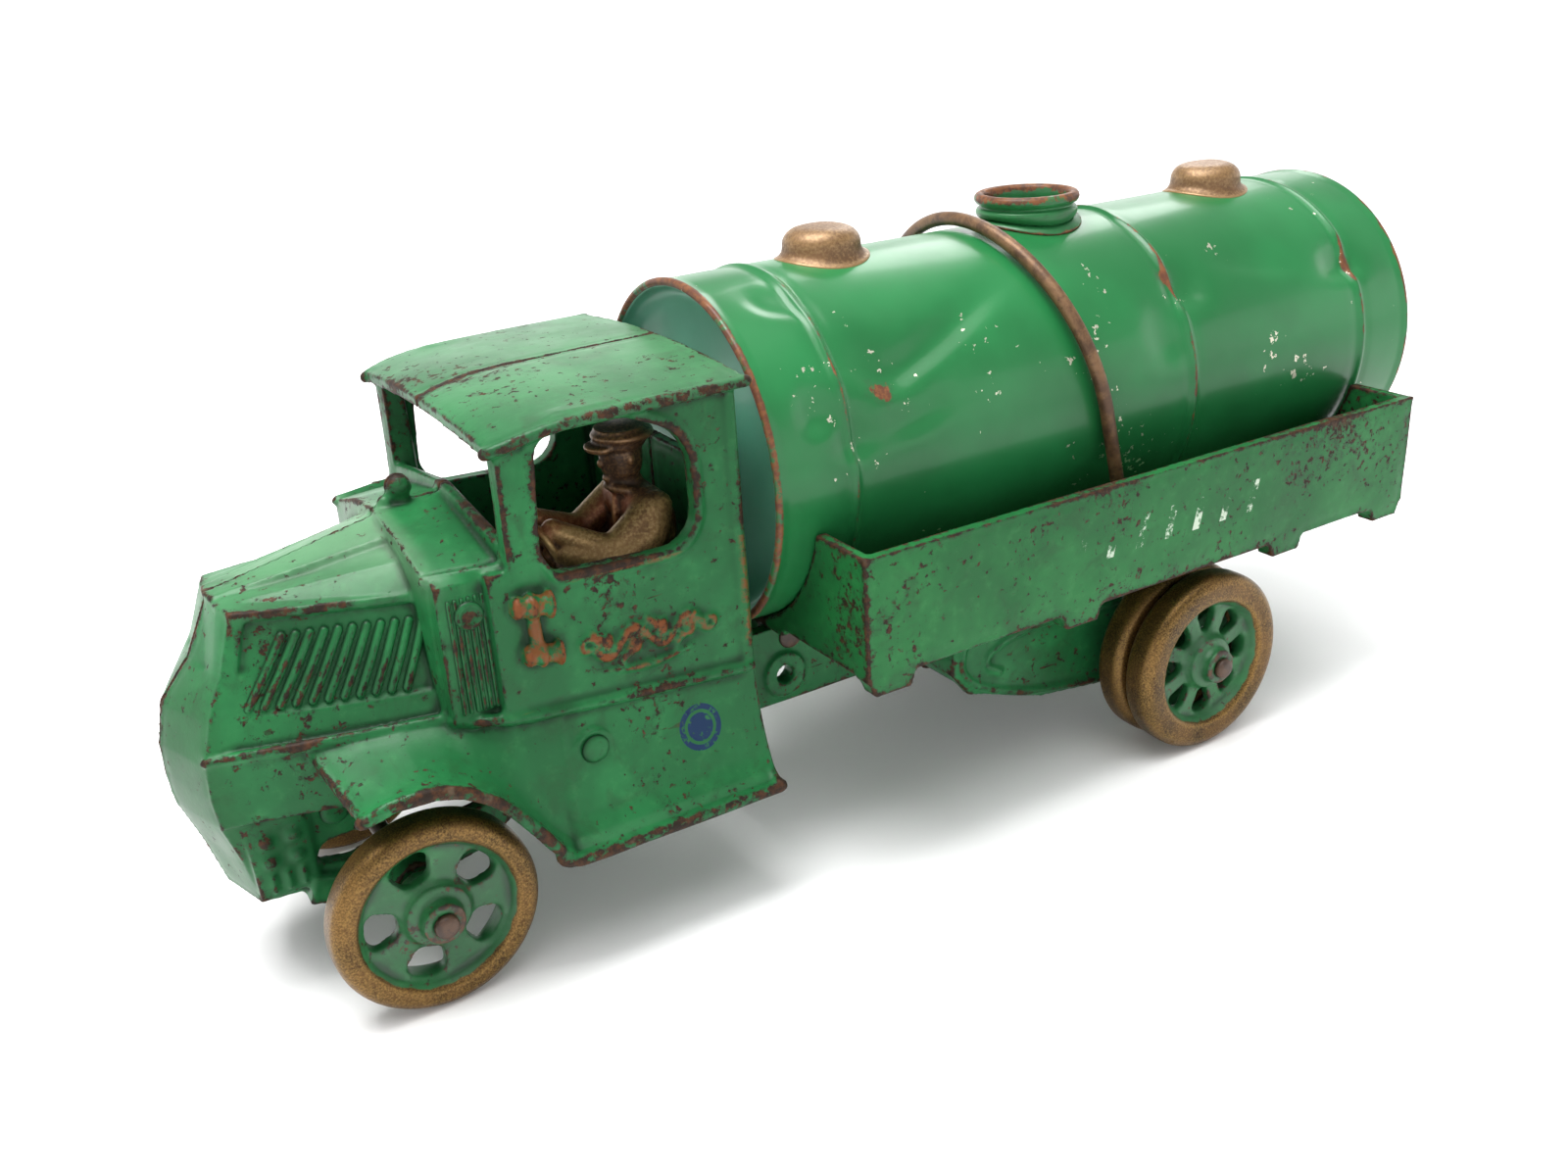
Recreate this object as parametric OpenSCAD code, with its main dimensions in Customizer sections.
// Toy tank lorry: two cast iron body halves, a cast bed, a rolled tin tank and loose axles.
// Millimetres. +X runs to the nose, +Y to the driver's side, +Z up, origin under the middle.

/* [Overall] */
// Front of the nose from the middle of the truck
nose_x = 162.2; // [158:0.2:166]
// Half of the gap left at the seam between the two body castings
seam_gap = 0.05; // [0.03:0.01:0.1]
// Wall thickness of the iron castings
wall = 3.0; // [2.6:0.1:3.4]

/* [Wheels] */
// Radius of the front wheels
front_r = 21.6; // [21:0.1:22.2]
// Radius of the rear wheels
rear_r = 23.6; // [23:0.1:24]
// Width of every tyre
tyre_w = 8.6; // [8:0.1:9]
// Position of the front axle along the truck
front_axle_x = 122.9; // [122:0.1:124]
// Position of the rear axle along the truck
rear_axle_x = -74.5; // [-76:0.1:-73]
// Radius of both axles
axle_r = 2.0; // [1.8:0.1:2.2]
// Outer face of the front tyres from the middle plane
front_face_y = 40.0; // [39.5:0.1:41]
// Outer face of the rear tyres from the middle plane
rear_face_y = 58.0; // [57.5:0.1:59]

/* [Hood] */
// Height of the hood's centre line at the nose
hood_nose_z = 85.3; // [84:0.1:87]
// Height of the hood's centre line where it meets the cowl
hood_cowl_z = 93.4; // [92:0.1:94]
// Number of ribs on each side radiator
radiator_ribs = 6; // [4:1:7]

/* [Cab] */
// Rear edge of the cab
cab_rear_x = 46.0; // [45.5:0.1:46.5]
// Outer face of the cab's sides from the middle plane
cab_y = 36.5; // [36:0.1:37]
// Height of the roof's centre line at its rear edge
roof_z = 119.4; // [118.8:0.1:120]
// Half width of the roof
roof_half_w = 39.0; // [38.5:0.1:40]
// Half width over the running boards
board_y = 47.5; // [47:0.1:48]

/* [Bed] */
// Front face of the bed
bed_front_x = 30.7; // [30:0.1:31]
// Length of the bed
bed_len = 173.7; // [172:0.1:175]
// Half width of the bed
bed_y = 57.8; // [57:0.1:58]
// Top edge of the bed's boards
bed_top_z = 79.8; // [79:0.1:80.5]
// Height of the bed's boards
bed_board_h = 28.6; // [28.2:0.1:28.8]

/* [Tank] */
// Radius of the tank's shell
tank_r = 40.2; // [40:0.1:40.3]
// Height of the tank's axis
tank_z = 89.6; // [89.5:0.1:90]
// Length of the tank
tank_len = 202.4; // [201:0.2:203]
// Middle of the tank along the truck
tank_x = -61.1; // [-61.2:0.1:-61]
// Thickness of the tin sheet
tin = 0.8; // [0.6:0.1:1]
// Radius of the bore of the filler neck
neck_bore_r = 10.4; // [10:0.1:10.8]
// Thickness of the retaining wire
wire_d = 3.4; // [3:0.1:3.6]

/* [Fits] */
// Radial play of an axle in the body's bearings
axle_play = 0.09; // [0.05:0.01:0.1]
// Radial play of a wheel on its axle
wheel_play = 0.06; // [0.03:0.01:0.1]

/* [Hidden] */
$fn = 48;
eps = 0.01;

// stations along the truck
cowl_x = 112.6;
pillar_x = 98.0;
screen_x = 96.4;
belt_front_x = 102.5;
chin_rear_x = 141.0;
bed_rear_x = bed_front_x - bed_len;
bed_z = bed_top_z - bed_board_h;

// frame rails
rail_in = 12.5;
rail_out = 16.5;
sill_z = bed_z - 2.0;
rail_top = sill_z - 0.1;
rail_low = 28.9;
rail_rear_x = -139.0;
front_axle_z = front_r;
rear_axle_z = rear_r;
axle_bore_r = axle_r + axle_play;
boss_r = 5.2;
front_boss_y = 26.5;
case_out_y = 36.0;
cross_hole_x = 27.2;
cross_hole_z = 36.7;
cross_hole_r = 2.4;

// rivets
rivet_r = 1.6;
rivet_play = 0.05;
rivet_head_r = 3.1;
nose_rivet = [134.5, 39.5];
cab_rivet = [85.5, 46.5];
bed_rivet_x = [bed_front_x - 6, bed_rear_x + 8];
bed_rivet_z = 45.8;
lug_y = rail_in - 0.2;
lug_low = 42.2;

// feet under the bed's boards
foot_x = [bed_front_x - 6.6, -29.5, -98.0, bed_rear_x + 6.6];
foot_z = bed_z - 3.6;

// belt line along the hood and cab
belt_z_front = 58.6;

// tank ends and beads
tank_front_x = tank_x + tank_len / 2;
tank_rear_x = tank_x - tank_len / 2;
bead_x = [tank_x + 81, tank_x - 20, tank_x - 82];
dome_r = 10.3;
dome_h = 6.3;
dome_x = [tank_x + 61.4, tank_x - 63];
neck_top_z = 136.7;
neck_r = neck_bore_r + 1.0;
wire_x = -49.8;
wire_lean = 13;
wire_r = wire_d / 2;
wire_arch_r = tank_r + wire_r + 0.4;
wire_leg = 42.3;
wire_head_r = wire_r + 0.9;
bed_tank_gap = 0.25;
bead_rise = 0.65;

green = "seagreen";
bronze = "darkgoldenrod";

// ---------- helpers ----------

// Points of an arc in the plane, from angle a to angle b
function arc(c, r, a, b, n = 8) =
    [for (i = [0:n]) let (t = a + (b - a) * i / n) [c[0] + r * cos(t), c[1] + r * sin(t)]];

// Outline whose corners p[i] are rounded with radius r[i]
function rounded(p, r, n = 5) =
    let (m = len(p))
    [for (i = [0:m - 1])
        let (a = p[(i + m - 1) % m] - p[i], b = p[(i + 1) % m] - p[i])
        let (u = a / norm(a), v = b / norm(b), half = acos(u * v) / 2)
        let (w = (u + v) / norm(u + v), c = p[i] + w * r[i] / sin(half))
        let (s = p[i] + u * r[i] / tan(half) - c, e = p[i] + v * r[i] / tan(half) - c)
        let (a0 = atan2(s[1], s[0]), d0 = atan2(e[1], e[0]) - a0)
        let (d = d0 > 180 ? d0 - 360 : d0 < -180 ? d0 + 360 : d0)
        for (k = [0:n]) c + r[i] * [cos(a0 + d * k / n), sin(a0 + d * k / n)]];

function backwards(v) = [for (i = [len(v) - 1:-1:0]) v[i]];
function mix(a, b, t) = a + (b - a) * t;

// Closed solid through rings of points; every ring has the same even number of points
module loft(rings) {
    n = len(rings[0]);
    m = len(rings);
    sides = [for (i = [0:m - 2], j = [0:n - 1]) let (k = (j + 1) % n)
        each [[i * n + j, i * n + n + k, i * n + k], [i * n + j, i * n + n + j, i * n + n + k]]];
    first = [for (j = [0:n / 2 - 2]) each [[j, n - 2 - j, n - 1 - j], [j, j + 1, n - 2 - j]]];
    b = (m - 1) * n;
    last = [for (j = [0:n / 2 - 2])
        each [[b + j, b + n - 1 - j, b + n - 2 - j], [b + j, b + n - 2 - j, b + j + 1]]];
    polyhedron(points = [for (r = rings) each r], faces = concat(sides, first, last));
}

// Solid whose outline is drawn looking along -Y, as x and z, and that runs from y0 to y1
module slab_xz(outline, y0, y1) {
    translate([0, y1, 0]) rotate([90, 0, 0]) linear_extrude(y1 - y0) polygon(outline);
}

// Solid whose outline is drawn looking along -X, as y and z, and that runs from x0 to x1
module slab_yz(outline, x0, x1) {
    translate([x0, 0, 0]) rotate([90, 0, 90]) linear_extrude(x1 - x0) polygon(outline);
}

// Rod along Y from y0 to y1
module rod_y(x, z, r, y0, y1) {
    translate([x, y0, z]) rotate([-90, 0, 0]) cylinder(h = y1 - y0, r = r);
}

// Rod along X from x0 to x1 at the tank's axis
module rod_x(x0, x1, r) {
    translate([x0, 0, tank_z]) rotate([0, 90, 0]) cylinder(h = x1 - x0, r = r, $fn = 96);
}

// ---------- body half: hood and nose ----------

// Where a ring meets the seam: the castings' faces, or past them for a hollow
function seam_y(t) = t > 0 ? -1 : seam_gap;
// Hood ring: centre line, shoulder, side corner and belt line, drawn in by t
function hood_nose_ring(t) = [
    [147.2 - t, seam_y(t), hood_nose_z - t], [146.6 - t, 7.6 - t / 2, hood_nose_z - t],
    [145.2 - t, 12.6 - t, hood_nose_z - 0.4 - t], [154.5 - t, 16.2 - t, 60.0 - t / 2],
    [155.6 - t, 16.6 - t, 57.2 - 4 * t], [161.2 - 1.4 * t, seam_y(t), 57.2 - 4 * t]];
function hood_cowl_ring(t) = [
    [cowl_x - 4, seam_y(t), hood_cowl_z - t], [cowl_x - 4, 16.5 - t / 2, 88.6 - t],
    [cowl_x - 4, 23.2 - t, 83.2 - t], [cowl_x - 4, 29.0 - t, belt_z_front - t / 2],
    [cowl_x - 4, 29.4 - t, 56 - 4 * t], [cowl_x - 4, seam_y(t), 56 - 4 * t]];

// Point on the hood's side: u from nose to cowl, v from belt to shoulder, w outwards
function hood_side(u, v, w = 0) =
    mix(mix([154.5, 16.2, 60], [145.2, 12.6, hood_nose_z - 0.4], v),
        mix([cowl_x - 4, 29, belt_z_front], [cowl_x - 4, 23.2, 83.2], v), u)
    + w * [0.25, 0.93, 0.2];

module hood_recess() {
    lo = 0.1;
    hi = 0.93;
    loft([for (u = [0.93, 0.07])
        [hood_side(u, hi, 3), hood_side(u, hi, -1.3), hood_side(u, 0.24, -1.3), hood_side(u, lo, 3)]]);
}

// Lower tier of the nose, its chin and the plain side under the belt
module nose_low() {
    // height, nose line, corner and half width at the corner
    tier = [[73.0, 153.6, 149.8, 14.0], [65.5, 159.9, 153.4, 15.8], [57.3, 161.9, 156.2, 17.6],
        [50, nose_x, 156.6, 17.7], [43.6, 161.8, 156.2, 17.2], [33.7, 158.6, 153.4, 15.6],
        [22.1, 155.8, 151.6, 13.5]];
    loft([for (s = backwards(tier)) [
        [chin_rear_x, seam_gap, s[0]], [s[1], seam_gap, s[0]],
        [s[2], s[3], s[0]], [chin_rear_x, s[3] + 1.4, s[0]]]]);
}

module nose_hollow() {
    hollow = [[20, 152.5, 147.6, 10.2], [34, 155.8, 150.2, 12.4], [44, 158.6, 152.6, 13.8],
        [58, 157.6, 152.4, 13.8]];
    loft([for (s = hollow)
        [[chin_rear_x - 1, -1, s[0]], [s[1], -1, s[0]], [s[2], s[3], s[0]],
            [chin_rear_x - 1, s[3] + 1.2, s[0]]]]);
}

// Side under the belt, between the nose and the cab
module side_low() {
    slab = [[belt_front_x, 35.2], [cowl_x - 1, 29.2], [134, 24.0], [156.2, 17.6],
        [156.2, 14.6], [134, 21.0], [cowl_x - 1, 26.2], [belt_front_x, 32.2]];
    translate([0, 0, 43.6]) linear_extrude(15.4) polygon(slab);
}

module hood() {
    difference() {
        loft([hood_nose_ring(0), hood_cowl_ring(0)]);
        loft([hood_nose_ring(wall), [for (p = hood_cowl_ring(wall)) p - [2, 0, 0]]]);
        hood_recess();
    }
    difference() {
        nose_low();
        nose_hollow();
    }
    side_low();
}

// ---------- body half: cowl and side radiator ----------

function cowl_ring(x, y, t) = [
    [x, seam_y(t), mix(94.9, 95.5, (cowl_x - x) / 16) - t], [x, 14, 93.0 - t], [x, y - 2.6 - t, 89.2 - t],
    [x, y - t, 86.8 - t], [x, y - t, belt_z_front - 1.2 - 2 * t], [x, seam_y(t), belt_z_front - 1.2 - 2 * t]];

module side_radiator() {
    slab_yz([[28, 58.4], [33.4, 58.4], [33.4, 87.4], [31.8, 88.6], [28, 88.6]],
        belt_front_x - 1.6, cowl_x - 0.6);
    for (i = [0:radiator_ribs - 1])
        translate([cowl_x - 3.2 - i * 1.35, 33, 60.6]) cube([0.7, 1.0, 24]);
    rod_y(cowl_x - 6.6, 81.4, 2.9, 32, 34.4);
}

module cap_knob() {
    intersection() {
        union() {
            translate([106.2, 0, 94.2]) cylinder(h = 3.4, r = 2.1);
            translate([106.2, 0, 98.0]) sphere(2.9);
        }
        translate([90, seam_gap, 90]) cube([30, 10, 20]);
    }
}

module cowl() {
    difference() {
        loft([cowl_ring(cowl_x, 29.6, 0), cowl_ring(pillar_x - 2, 32.8, 0)]);
        loft([cowl_ring(cowl_x - wall, 29.6, wall), cowl_ring(pillar_x - 4, 32.8, wall)]);
    }
    side_radiator();
    cap_knob();
    // sill of the windscreen
    slab_yz([[seam_gap, 93], [33, 88.6], [33, 92.4], [seam_gap, 97.0]], screen_x - 1.3, screen_x + 1.3);
}

// ---------- body half: cab ----------

side_outline = [[cab_rear_x, 50.5], [cab_rear_x, 117.2], [84, 117.4], [pillar_x - 0.4, 114.5],
    [pillar_x, 88.6], [belt_front_x, 88.6], [belt_front_x, 56.5]];
window = [[88.6, 85.6], [91.2, 91.0], [89.6, 113.4], [71.0, 113.8], [57.4, 107.6], [57.4, 84.2]];
window_r = [3, 5, 4, 9, 11, 7];
window_rim = [[88.6, 83.4], [93.2, 91.0], [91.6, 115.4], [71.0, 116.0], [55.2, 109.2], [55.2, 81.8]];

module cab_side() {
    difference() {
        union() {
            slab_xz(side_outline, cab_y - wall, cab_y);
            slab_xz(rounded(window_rim, [4, 5, 4, 10, 13, 9]), cab_y - wall, cab_y + 0.9);
        }
        slab_xz(rounded(window, window_r), cab_y - wall - 1, cab_y + 2);
    }
    // corner post of the windscreen
    slab_xz([[pillar_x - 5.6, 86], [pillar_x, 86], [pillar_x - 0.6, 114.4], [pillar_x - 5.2, 114.8]],
        31.6, cab_y + 0.4);
}

// Rear wall of the cab, open above the driver's shoulders, and the seat
module cab_back() {
    slab_yz([[seam_gap, 60], [cab_y - 1, 60], [cab_y - 1, 117.2], [28, 117.6], [28, 97], [seam_gap, 97]],
        cab_rear_x, cab_rear_x + 2.6);
    slab_yz([[seam_gap, 114.6], [cab_y - 1, 114.6], [cab_y - 1, 116.6], [seam_gap, 118]],
        cab_rear_x, cab_rear_x + 2.6);
    translate([cab_rear_x, seam_gap, 66]) cube([22, cab_y - 2, 3]);
}

// Roof: crowned across, and drooping over the windscreen
function roof_top(x, v) =
    let (front = max(0, x - 80) / 19, w = roof_half_w - 1.6 * pow(front, 6))
    [x, seam_gap + (w - seam_gap) * v, roof_z - 0.6 * (x - 44) / 40 - 2.9 * front * front - 2.1 * v * v];
roof_stations = [44.4, 56, 68, 80, 86, 91, 95, 98.2, 99.4];

module roof() {
    across = [0, 0.3, 0.55, 0.75, 0.9, 1];
    loft([for (x = backwards(roof_stations)) concat(
        [for (v = across) roof_top(x, v)],
        [for (v = backwards(across)) roof_top(x, v) - [0, 0, 2.4]])]);
}

// ---------- body half: running board and fender ----------

// Outer edge of the board and fender, then the inner edge where they meet the body
fender_out = [[cab_rear_x + 1, board_y, 28.6], [70, board_y, 28.8], [95.4, board_y, 29.0],
    [99, 47.2, 33], [102.5, 46.8, 38.2], [106.8, 46.6, 44.2], [111, 46.4, 48.6], [116.2, 46.2, 52.0],
    [122, 46, 53.7], [129, 45.6, 53.7], [135.2, 45, 51.8]];
fender_in = [[cab_rear_x + 0.2, 36.0, 53], [70, 36.0, 55], [93, 35.8, 57.4], [97, 35.2, 58],
    [101, 34.6, 58.3], [105, 33.2, 58.6], [109.5, 31.2, 58.8], [115, 28.6, 59], [122, 26.8, 59.2],
    [130, 25, 58.8], [138.4, 22.6, 57.4]];
fender_bow = [2.7, 2.7, 2.7, 2.5, 2.3, 2.1, 1.8, 1.6, 1.4, 1.3, 1.3];
fender_across = [0, 0.12, 0.28, 0.46, 0.64, 0.82, 1];

function fender_at(i, t) =
    let (a = fender_in[i], b = fender_out[i])
    [mix(a[0], b[0], t), mix(a[1], b[1], t), mix(a[2], b[2], 1 - pow(1 - t, fender_bow[i]))];
// The same point on the underside, one wall thickness along the section's normal
function fender_under(i, t) =
    let (d = fender_at(i, min(1, t + 0.02)) - fender_at(i, max(0, t - 0.02)))
    fender_at(i, t) + 0.85 * wall * [0, d[2], -d[1]] / norm([0, d[1], d[2]]);

module fender() {
    loft([for (i = [len(fender_in) - 1:-1:0]) concat(
        [for (t = fender_across) fender_at(i, t)],
        [for (t = backwards(fender_across)) fender_under(i, t)])]);
}

// ---------- body half: rail, spring and chain case ----------

rail_outline = concat(
    [[rail_rear_x, rail_top], [rail_rear_x, 38], [-122, 31.5], [-92, rail_low]],
    arc([rear_axle_x, rear_axle_z], 8, 200, 340, 8),
    [[-56, rail_low], [88, rail_low], [95, 26.5], [100, 22]],
    arc([front_axle_x, front_axle_z], 6.6, 205, 335, 8),
    [[138, 19.8], [chin_rear_x + 1, 21.5], [chin_rear_x + 1, rail_top]]);
spring_slot = rounded(
    [[102, 29.4], [112, 27.8], [123, 29.4], [133, 27.0], [140.5, 28.6], [138, 32.6], [123, 34.0], [106, 32.8]],
    [1.2, 4, 4, 4, 1.4, 2, 6, 2]);
case_outline = concat(
    arc([rear_axle_x, rear_axle_z], 11.6, 150, 268, 8),
    [[-38, 16.6], [-20, 23.0], [-14.5, 24.6], [-9, 31.6], [-10, 40], [-22, 47.5], [-60, 46]]);

module rail() {
    slab_xz(rail_outline, rail_in, rail_out);
    // leaf spring standing proud of the rail, and the front bearing boss
    spring_eye = [front_axle_x, front_axle_z + 62];
    slab_xz(concat(arc(spring_eye, 66, 252, 288, 10), arc(spring_eye, 59.6, 288, 252, 10)),
        rail_in, rail_out + 2);
    rod_y(front_axle_x, front_axle_z, boss_r, rail_in, front_boss_y);
    // spring block
    slab_xz([[140, 24.7], [152, 24.7], [152.4, 41.6], [140, 42]], 10, 17.6);
}

module chain_case() {
    difference() {
        slab_xz(case_outline, rail_out - 1, case_out_y - 1.2);
        slab_xz([[-140, 0], [-12, 0], [-12, 27], [-20, 40], [-58, 40], [-84, 40], [-140, 40]],
            rail_out, case_out_y - 1.2 - wall);
    }
    rod_y(rear_axle_x, rear_axle_z, boss_r + 1.4, rail_in, case_out_y);
    // bridge from the rail up to the case
    translate([-60, rail_in, 43]) cube([44, case_out_y - 5 - rail_in, 3]);
}

module cross_lugs() {
    rod_y(nose_rivet[0], nose_rivet[1], 4.2, seam_gap, rail_out);
    rod_y(cab_rivet[0], cab_rivet[1], 4.2, rail_in, 38);
    rod_y(cross_hole_x, cross_hole_z, 5.6, rail_in, rail_out + 1.4);
    // floor of the cab, tying the side to the rail
    translate([cab_rear_x, rail_in, 47.6]) cube([54, cab_y - 2 - rail_in, wall]);
    translate([cab_rear_x, rail_in, 47.6]) cube([2.6, cab_y - 2 - rail_in, 20]);
    translate([100, rail_in, 47.6]) cube([36, 10, wall]);
}

module body_half() {
    difference() {
        union() {
            hood();
            cowl();
            cab_side();
            cab_back();
            roof();
            fender();
            rail();
            chain_case();
            cross_lugs();
        }
        slab_xz(spring_slot, 0, 30);
        rod_y(front_axle_x, front_axle_z, axle_bore_r, 0, 60);
        rod_y(rear_axle_x, rear_axle_z, axle_bore_r, 0, 60);
        rod_y(cross_hole_x, cross_hole_z, cross_hole_r, 0, 60);
        rod_y(nose_rivet[0], nose_rivet[1], rivet_r + rivet_play, -1, 30);
        rod_y(cab_rivet[0], cab_rivet[1], rivet_r + rivet_play, -1, 60);
        for (x = bed_rivet_x) rod_y(x, bed_rivet_z, rivet_r + rivet_play, -1, 30);
        translate([driver_seat[0], driver_seat[1], 60]) cylinder(h = 20, r = stub_r + 0.1);
    }
}

// ---------- driver ----------

driver_seat = [57.5, 12.0, 69.0];
stub_r = 1.6;

// Limb between two points, thicker or thinner at its ends
module limb(p, q, r0, r1) {
    hull() {
        translate(p) sphere(r0, $fn = 14);
        translate(q) sphere(r1, $fn = 14);
    }
}

module driver_shape() {
    limb([1, -3.4, 6.4], [1, 3.4, 6.4], 6.0, 6.0);
    limb([0.6, -3, 11], [0.4, 3, 11], 6.2, 6.2);
    limb([1.4, -5, 17.6], [1.4, 5, 17.6], 5.2, 5.2);
    limb([2, 0, 20], [3.4, 0, 24], 4.0, 3.2);
    limb([3.6, 0, 27.4], [3.8, 0, 29.6], 4.6, 4.8);
    for (s = [-1, 1]) {
        limb([2, s * 4.6, 4.4], [17, s * 5.0, 4.0], 4.4, 3.6);
        limb([1.6, s * 8.0, 18.4], [12, s * 8.6, 11.2], 3.9, 3.6);
        limb([12, s * 8.6, 11.2], [23, s * 4.4, 17.6], 3.6, 2.6);
    }
    translate([3.6, 0, 31.4]) cylinder(h = 4.0, r = 5.5, $fn = 24);
    translate([7.4, 0, 31.2]) cylinder(h = 1.0, r = 4.3, $fn = 24);
    translate([0, 0, -4.4]) cylinder(h = 8, r = stub_r, $fn = 24);
}

// ---------- modules of the nodes ----------

module left_body_casting() {
    color(green) body_half();
}

module right_body_casting() {
    color(green) mirror([0, 1, 0]) body_half();
}

module bed_casting() {
    inner_r = tank_r + bed_tank_gap;
    color(green) difference() {
        union() {
            for (s = [-1, 1]) {
                // side board, floor flange and the feet under the board
                translate([bed_rear_x, s > 0 ? bed_y - wall : -bed_y, bed_z])
                    cube([bed_len, wall, bed_board_h]);
                translate([bed_rear_x, s > 0 ? 21 : -bed_y, bed_z]) cube([bed_len, bed_y - 21, 2.4]);
                for (x = foot_x)
                    slab_xz([[x - 6.6, bed_z + 1], [x - 4.6, foot_z], [x + 4.6, foot_z], [x + 6.6, bed_z + 1]],
                        s > 0 ? bed_y - 5 : -bed_y, s > 0 ? bed_y : 5 - bed_y);
            }
            for (x = [bed_front_x - wall, bed_rear_x])
                slab_yz([[-bed_y, bed_z], [-24, bed_z], [-22, sill_z], [22, sill_z], [24, bed_z],
                    [bed_y, bed_z], [bed_y, bed_top_z], [-bed_y, bed_top_z]], x, x + wall);
            // lugs that drop between the rails
            for (x = bed_rivet_x) translate([x - 6, -lug_y, lug_low]) cube([12, 2 * lug_y, 8.2]);
            translate([bed_front_x - wall, -lug_y, lug_low]) cube([wall, 2 * lug_y, 12]);
            translate([bed_rear_x, -lug_y, lug_low]) cube([wall + 3, 2 * lug_y, 12]);
        }
        rod_x(bed_rear_x - 5, bed_front_x + 5, inner_r);
        // the rear wall clears the tank's last bead
        rod_x(bed_rear_x - 5, bed_rear_x + wall + 1, inner_r + bead_rise);
        for (x = bed_rivet_x) rod_y(x, bed_rivet_z, rivet_r + rivet_play, -30, 30);
        wire_path(wire_r + 0.15);
    }
}

module driver_figure() {
    color(bronze) translate(driver_seat) difference() {
        driver_shape();
        // flat underneath, round the stub that holds the figure to the seat
        difference() {
            translate([-20, -20, -9.95]) cube([60, 40, 10]);
            translate([0, 0, -20]) cylinder(h = 30, r = stub_r + 1, $fn = 24);
        }
        translate([-20, -20, -14.4]) cube([60, 40, 10]);
    }
}

module tank_shell() {
    half = tank_len / 2;
    color(green) difference() {
        translate([tank_x, 0, tank_z]) rotate([0, 90, 0]) {
            difference() {
                union() {
                    translate([0, 0, -half + 1]) cylinder(h = tank_len - 2, r = tank_r, $fn = 96);
                    for (s = [-1, 1]) translate([0, 0, s * (half - 1.1)]) rotate_extrude($fn = 96)
                        translate([tank_r - 0.4, 0]) circle(r = 1.1);
                    for (x = bead_x) translate([0, 0, x - tank_x]) rotate_extrude($fn = 96)
                        translate([tank_r - 0.35, 0]) circle(r = 1.0);
                }
                translate([0, 0, -half - 1]) cylinder(h = tank_len + 2, r = tank_r - tin, $fn = 96);
            }
        }
        translate([tank_x, 0, tank_z]) cylinder(h = 60, r = neck_r + 0.05);
    }
}

module tank_head(x, s) {
    r = tank_r - tin - 0.03;
    dish = [[0, -2.0], [r - 4, -2.0], [r - 2.4, -1.4], [r - 0.9, 0], [r - 0.9, 2.4], [r, 2.4],
        [r, -2.8], [0, -2.8]];
    color("mediumaquamarine") translate([x - s * 3.2, 0, tank_z]) rotate([0, s * 90, 0])
        rotate_extrude($fn = 96) polygon(dish);
}

module tank_front_head() { tank_head(tank_front_x, 1); }

module tank_rear_head() { tank_head(tank_rear_x, -1); }

module filler_neck() {
    top = neck_top_z - tank_z;
    base = sqrt(tank_r * tank_r - neck_r * neck_r) - 2.4;
    color("darkolivegreen") translate([tank_x, 0, tank_z]) {
        rotate_extrude() difference() {
            union() {
                translate([neck_bore_r, base]) square([neck_r - neck_bore_r, top - 1.3 - base]);
                translate([neck_r + 0.3, top - 1.3]) circle(r = 1.3);
                translate([neck_r + 0.2, top - 4.4]) circle(r = 1.0);
            }
            square([neck_bore_r, top + 10]);
        }
        // saddle flange that follows the shell
        difference() {
            intersection() {
                cylinder(h = 60, r = neck_r + 2.2);
                rotate([0, 90, 0]) cylinder(h = 60, r = tank_r + 0.75, center = true, $fn = 96);
            }
            cylinder(h = 60, r = neck_bore_r + 0.5);
            rotate([0, 90, 0]) cylinder(h = 70, r = tank_r + 0.02, center = true, $fn = 96);
        }
    }
}

module dome(x) {
    top = tank_r + dome_h;
    color(bronze) translate([x, 0, tank_z]) difference() {
        rotate_extrude() polygon(concat(
            [[0, 30], [dome_r + 0.9, 30], [dome_r + 0.9, tank_r + 0.2], [dome_r, tank_r + 1.2]],
            arc([dome_r - 4.4, top - 4.4], 4.4, 0, 90, 8), [[0, top + 0.4]]));
        rotate_extrude() polygon(concat(
            [[0, 20], [dome_r - 0.9, 20]],
            arc([dome_r - 5, top - 5.2], 4.1, 0, 90, 8), [[0, top - 0.8]]));
        rotate([0, 90, 0]) cylinder(h = 70, r = tank_r + 0.02, center = true, $fn = 96);
    }
}

module front_dome() { dome(dome_x[0]); }

module rear_dome() { dome(dome_x[1]); }

// Arch over the tank with two legs that pass through the bed's floor
module wire_path(r) {
    translate([wire_x, 0, tank_z + 1.5]) rotate([0, wire_lean, 0]) {
        rotate([90, 0, 90]) rotate_extrude(angle = 180, $fn = 96)
            translate([wire_arch_r, 0]) circle(r = r, $fn = 24);
        for (s = [-1, 1]) translate([0, s * wire_arch_r, -wire_leg])
            cylinder(h = wire_leg + eps, r = r, $fn = 24);
    }
}

module retaining_wire() {
    color("saddlebrown") {
        wire_path(wire_r);
        // ends peened over below the floor
        translate([wire_x, 0, tank_z + 1.5]) rotate([0, wire_lean, 0])
            for (s = [-1, 1]) translate([0, s * wire_arch_r, -wire_leg - 0.6])
                cylinder(h = 1.2, r = wire_head_r, $fn = 24);
    }
}

module axle(x, z, half) {
    color("dimgray") {
        rod_y(x, z, axle_r, -half, half);
        for (s = [-1, 1]) translate([x, s * half, z]) rotate([-s * 90, 0, 0])
            cylinder(h = 1.5, r1 = axle_r + 1.1, r2 = axle_r + 0.4);
    }
}

rim_r = 16.2;
front_hub = [-2.2, tyre_w + 2.6];
rear_hub_out = [-0.2, tyre_w + 2.4];
rear_hub_in = [-1.4, tyre_w + 0.3];

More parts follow.
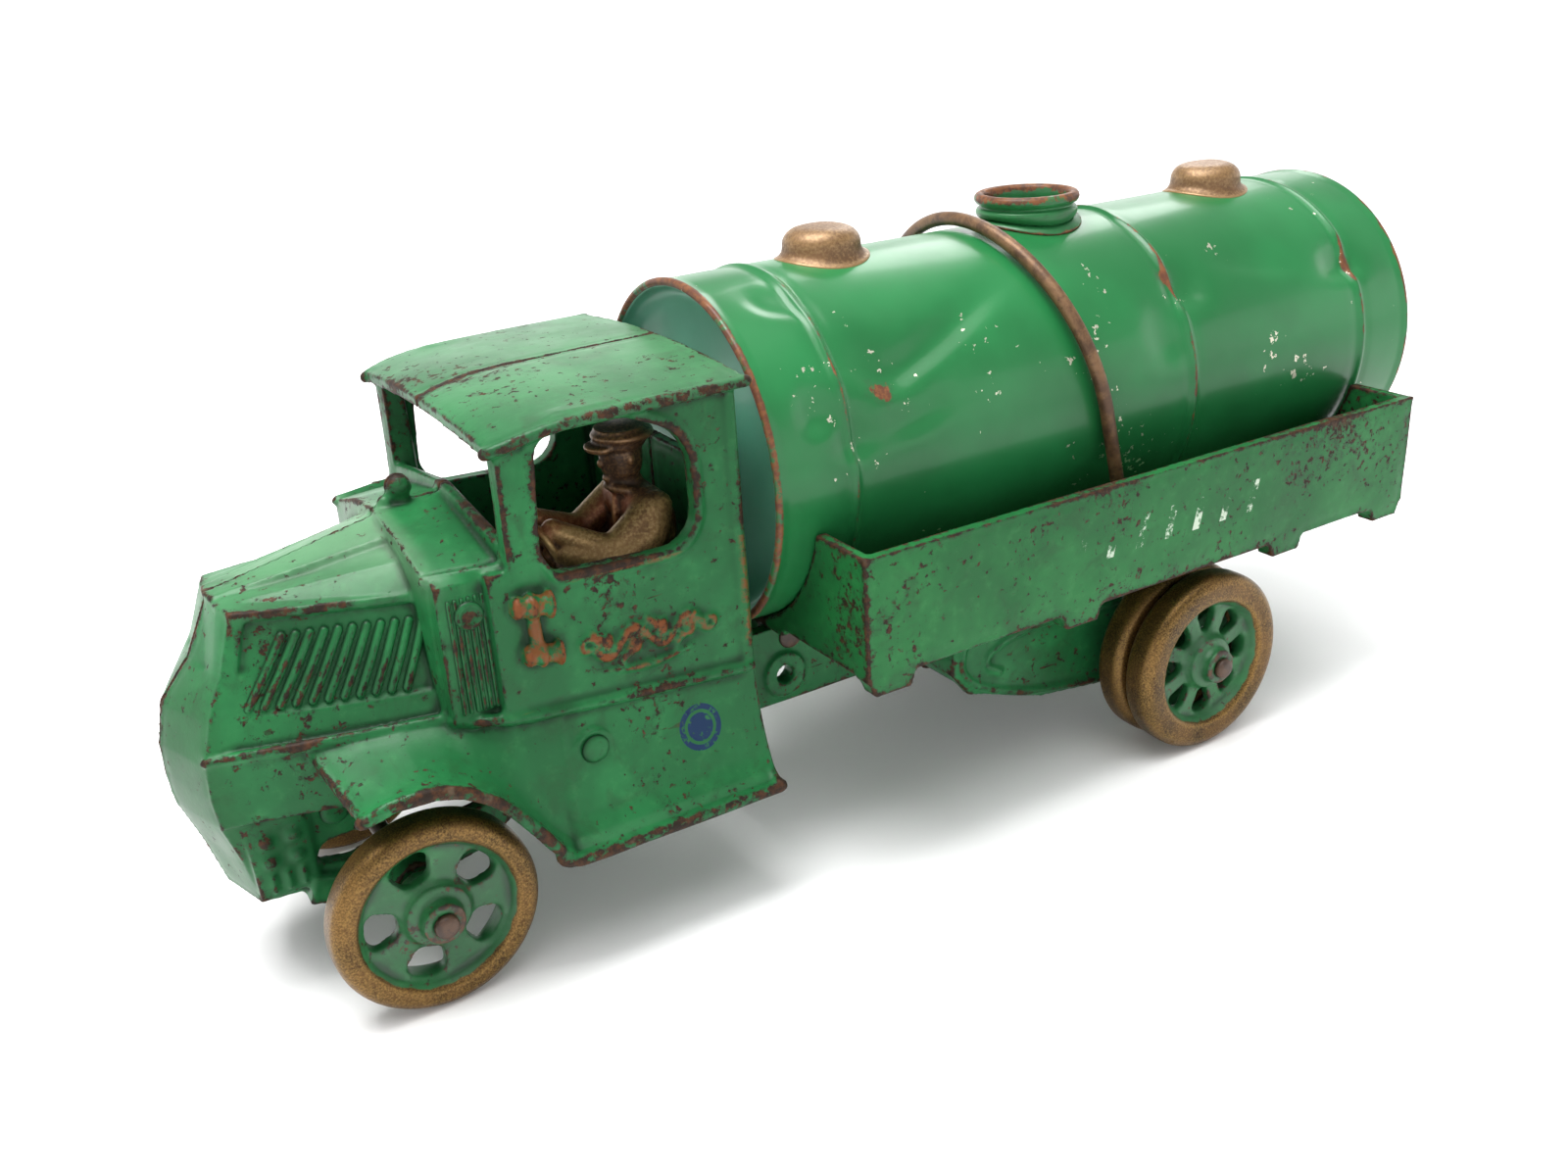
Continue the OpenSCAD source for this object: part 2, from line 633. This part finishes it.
module front_axle() { axle(front_axle_x, front_axle_z, front_face_y + 2.8); }

module rear_axle() { axle(rear_axle_x, rear_axle_z, rear_face_y + 2.6); }

// Wheel about the Z axis: inner face at z = 0, outer face at z = tyre_w
module wheel(r, holes, hole_in, hole_out, web, hub) {
    outline = concat(
        [[axle_r + wheel_play, hub[0]], [6.0, hub[0]], [6.4, 2.4], [7.2, 2.6]],
        [[rim_r - 2.2, 2.4], [rim_r - 1.2, 0.6], [rim_r + 0.6, 0]],
        arc([r - 2.6, 2.6], 2.6, -90, 0, 5),
        arc([r - 3.0, tyre_w - 3.0], 3.0, 0, 90, 6),
        [[rim_r + 0.8, tyre_w - 0.2], [rim_r, tyre_w - 1.0], [rim_r - 0.6, tyre_w - 2.4]],
        [[rim_r - 1.4, 2.4 + web], [7.4, 2.6 + web], [6.6, tyre_w - 0.8], [4.6, tyre_w - 0.6]],
        [[4.4, hub[1]], [axle_r + wheel_play, hub[1]]]);
    difference() {
        rotate_extrude() polygon(outline);
        for (i = [0:holes - 1]) rotate(i * 360 / holes) translate([0, 0, -1]) linear_extrude(tyre_w + 2)
            polygon(rounded(
                [[8.0, -hole_in], [8.0, hole_in], [rim_r - 2.2, hole_out], [rim_r - 1.6, 0],
                    [rim_r - 2.2, -hole_out]],
                [hole_in * 0.8, hole_in * 0.8, hole_out * 0.42, 8, hole_out * 0.42]));
    }
}

module place_wheel(x, z, face, side) {
    translate([x, side * face, z]) rotate([-side * 90, 0, 0]) translate([0, 0, -tyre_w]) children();
}

module front_wheel(side) {
    color(bronze) place_wheel(front_axle_x, front_axle_z, front_face_y, side)
        wheel(front_r, 5, 2.6, 5.0, 3.2, front_hub);
}

module rear_wheel(face, side, hub) {
    color(bronze) place_wheel(rear_axle_x, rear_axle_z, face, side)
        wheel(rear_r, 8, 1.3, 3.5, 2.8, hub);
}

module left_front_wheel() { front_wheel(1); }

module right_front_wheel() { front_wheel(-1); }

module left_rear_outer_wheel() { rear_wheel(rear_face_y, 1, rear_hub_out); }

module left_rear_inner_wheel() { rear_wheel(rear_face_y - tyre_w - 1.0, 1, rear_hub_in); }

module right_rear_inner_wheel() { rear_wheel(rear_face_y - tyre_w - 1.0, -1, rear_hub_in); }

module right_rear_outer_wheel() { rear_wheel(rear_face_y, -1, rear_hub_out); }

// Rivet along Y with a low head at each end
module cross_rivet(x, z, half) {
    rod_y(x, z, rivet_r, -half, half);
    for (s = [-1, 1]) translate([x, s * half, z]) rotate([-s * 90, 0, 0])
        cylinder(h = 0.9, r1 = rivet_head_r, r2 = rivet_head_r - 1);
}

module body_rivets() {
    color("dimgray") {
        cross_rivet(nose_rivet[0], nose_rivet[1], rail_out + 0.02);
        cross_rivet(cab_rivet[0], cab_rivet[1], 38.4);
    }
}

module bed_rivets() {
    color("dimgray") for (x = bed_rivet_x) cross_rivet(x, bed_rivet_z, rail_out + 0.02);
}

left_body_casting();
right_body_casting();
bed_casting();
driver_figure();
tank_shell();
tank_front_head();
tank_rear_head();
filler_neck();
front_dome();
rear_dome();
retaining_wire();
front_axle();
rear_axle();
left_front_wheel();
right_front_wheel();
left_rear_outer_wheel();
left_rear_inner_wheel();
right_rear_inner_wheel();
right_rear_outer_wheel();
body_rivets();
bed_rivets();
